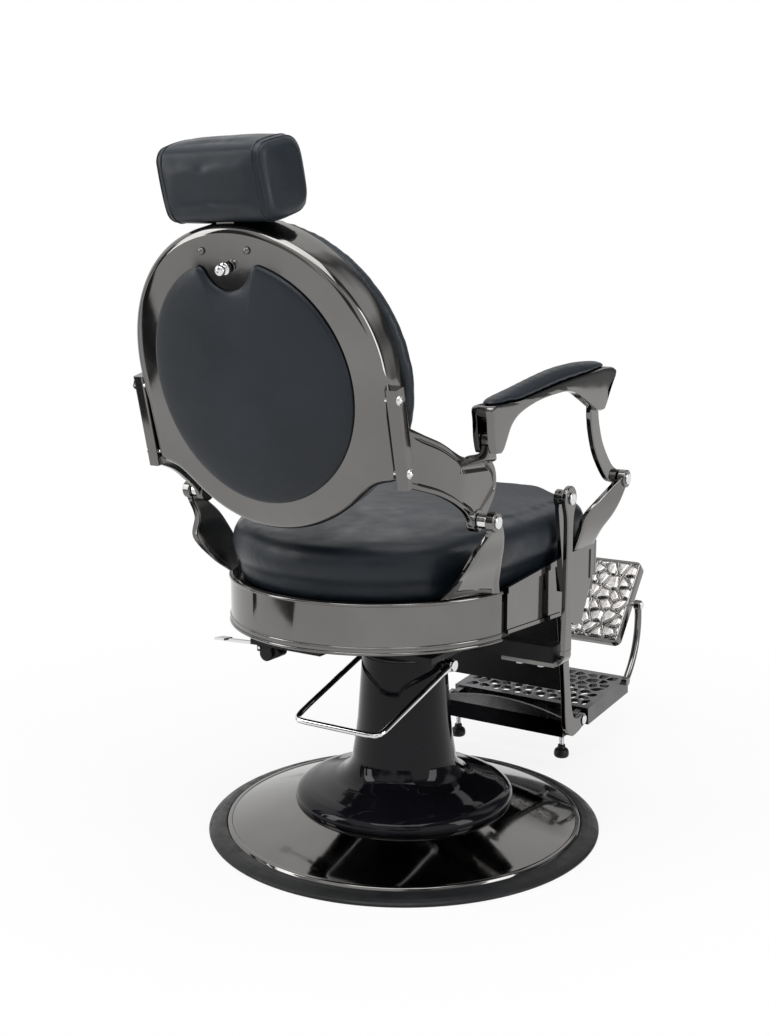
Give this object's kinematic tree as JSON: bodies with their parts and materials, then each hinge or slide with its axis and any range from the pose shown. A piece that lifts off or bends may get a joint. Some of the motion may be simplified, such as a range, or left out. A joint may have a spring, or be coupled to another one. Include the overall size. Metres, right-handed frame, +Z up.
{
  "type": "hydraulic barber chair",
  "caption": "Reclining barber chair with a round seat and disc back, linked armrests, leg rest with pierced foot platform and flip-up plate, on a pump column and round base.",
  "frame": {"origin": "centre of the base on the floor, on the pump column's axis", "axes": "+Z up, -Y the way the chair faces, +X the sitter's left"},
  "size_m": [0.6899, 1.217, 1.1276],
  "materials": {
    "gunmetal": "polished dark nickel",
    "rubber": "matt",
    "black_paint": "gloss",
    "chassis_paint": "satin",
    "steel": "ground",
    "iron": "machined",
    "bright": "polished",
    "brass": "plain",
    "leather": "satin",
    "plywood": "plain",
    "grating": "polished faces",
    "tread": "polished"
  },
  "bodies": {
    "base": {"base_plate": "gunmetal", "base_ring": "rubber", "column_skirt": "black_paint", "pump_cylinder": "iron", "pump_head": "iron", "base_bolts": "steel", "lever_pins": "bright"},
    "pump_lever": {"pump_lever": "bright"},
    "piston": {"piston": "steel", "thrust_washer": "brass"},
    "chassis": {"chassis": "chassis_paint", "yoke_arm_left": "gunmetal", "yoke_arm_right": "gunmetal", "yoke_bolts": "steel", "lock_housing": "chassis_paint"},
    "recline_lever": {"recline_lever": "bright"},
    "seat": {"seat_ring": "gunmetal", "side_panel_left": "gunmetal", "side_panel_right": "gunmetal", "front_apron": "gunmetal", "seat_pan": "chassis_paint", "seat_board": "plywood", "seat_cushion": "leather", "seat_pivot_pins": "bright", "rear_bracket_left": "gunmetal", "rear_bracket_right": "gunmetal", "front_bracket_left": "gunmetal", "front_bracket_right": "gunmetal", "bracket_pins": "bright", "leg_pivot_pins": "bright"},
    "back": {"back_shell": "gunmetal", "rear_panel": "leather", "back_board": "plywood", "back_cushion": "leather", "wing_left": "gunmetal", "wing_right": "gunmetal", "wing_bolts": "bright", "arm_pivot_pins": "bright", "headrest_guide": "chassis_paint", "shell_screws": "bright"},
    "headrest": {"headrest_post": "bright", "headrest_cushion": "leather"},
    "headrest_knob": {"headrest_knob": "bright"},
    "arm_left": {"armrest_left": "gunmetal", "arm_pad_left": "leather"},
    "arm_right": {"armrest_right": "gunmetal", "arm_pad_right": "leather"},
    "strut_left": {"strut_left": "gunmetal"},
    "strut_right": {"strut_right": "gunmetal"},
    "leg_rest": {"leg_bar_left": "gunmetal", "leg_bar_right": "gunmetal", "calf_board": "chassis_paint", "calf_pad": "leather", "foot_platform": "grating", "platform_beam": "chassis_paint", "platform_pins": "bright", "foot_stems": "steel", "platform_feet": "rubber", "flip_arms": "gunmetal"},
    "flip_plate": {"flip_plate": "tread"}
  },
  "joints": [
    {"name": "lift", "type": "slide", "parent": "base", "child": "piston", "axis": [0, 0, 1], "range_m": [0, 0.16]},
    {"name": "swivel", "type": "hinge", "parent": "piston", "child": "chassis", "pos_m": [0, 0, 0.34], "axis": [0, 0, 1], "continuous": true},
    {"name": "pump_lever", "type": "hinge", "parent": "base", "child": "pump_lever", "pos_m": [0, -0.012, 0.293], "axis": [1, 0, 0], "range_deg": [-22, 0], "stiffness_Nm_per_rad": 6, "springref_deg": 17.19},
    {"name": "recline_lever", "type": "hinge", "parent": "chassis", "child": "recline_lever", "pos_m": [0.196, 0.133, 0.32], "axis": [0, -1, 0], "range_deg": [0, 15], "stiffness_Nm_per_rad": 2, "springref_deg": -8.59},
    {"name": "recline", "type": "hinge", "parent": "seat", "child": "back", "pos_m": [0, 0.213, 0.594], "axis": [-1, 0, 0], "range_deg": [0, 20]},
    {"name": "seat_tilt", "type": "hinge", "parent": "chassis", "child": "seat", "pos_m": [0, -0.072, 0.588], "axis": [-1, 0, 0], "range_deg": [0, 8.2]},
    {"name": "leg_rest", "type": "hinge", "parent": "seat", "child": "leg_rest", "pos_m": [0, -0.305, 0.38], "axis": [-1, 0, 0], "range_deg": [0, 60.5]},
    {"name": "arm_left", "type": "hinge", "parent": "back", "child": "arm_left", "pos_m": [0, 0.243, 0.718], "axis": [1, 0, 0], "range_deg": [0, 24.4]},
    {"name": "arm_right", "type": "hinge", "parent": "back", "child": "arm_right", "pos_m": [0, 0.243, 0.718], "axis": [1, 0, 0], "range_deg": [0, 24.4]},
    {"name": "strut_left", "type": "hinge", "parent": "seat", "child": "strut_left", "pos_m": [0, -0.215, 0.606], "axis": [-1, 0, 0], "range_deg": [0, 19.6]},
    {"name": "strut_right", "type": "hinge", "parent": "seat", "child": "strut_right", "pos_m": [0, -0.215, 0.606], "axis": [-1, 0, 0], "range_deg": [0, 19.6]},
    {"name": "flip_plate", "type": "hinge", "parent": "leg_rest", "child": "flip_plate", "pos_m": [0, -0.655, 0.275], "axis": [-1, 0, 0], "range_deg": [-50, 130]},
    {"name": "headrest_slide", "type": "slide", "parent": "back", "child": "headrest", "axis": [0, 0.2538, 0.9673], "range_m": [0, 0.1]},
    {"name": "headrest_knob", "type": "hinge", "parent": "back", "child": "headrest_knob", "pos_m": [0, 0.4624, 0.9535], "axis": [0, 0.9673, -0.2538], "range_deg": [0, 180]}
  ],
  "couplings": [
    {"joint": "seat_tilt", "follows": "recline", "ratio": 0.4},
    {"joint": "leg_rest", "follows": "recline", "ratio": 3},
    {"joint": "arm_left", "follows": "recline", "ratio": 1.208},
    {"joint": "arm_right", "follows": "recline", "ratio": 1.208},
    {"joint": "strut_left", "follows": "recline", "ratio": 0.966},
    {"joint": "strut_right", "follows": "recline", "ratio": 0.966}
  ]
}
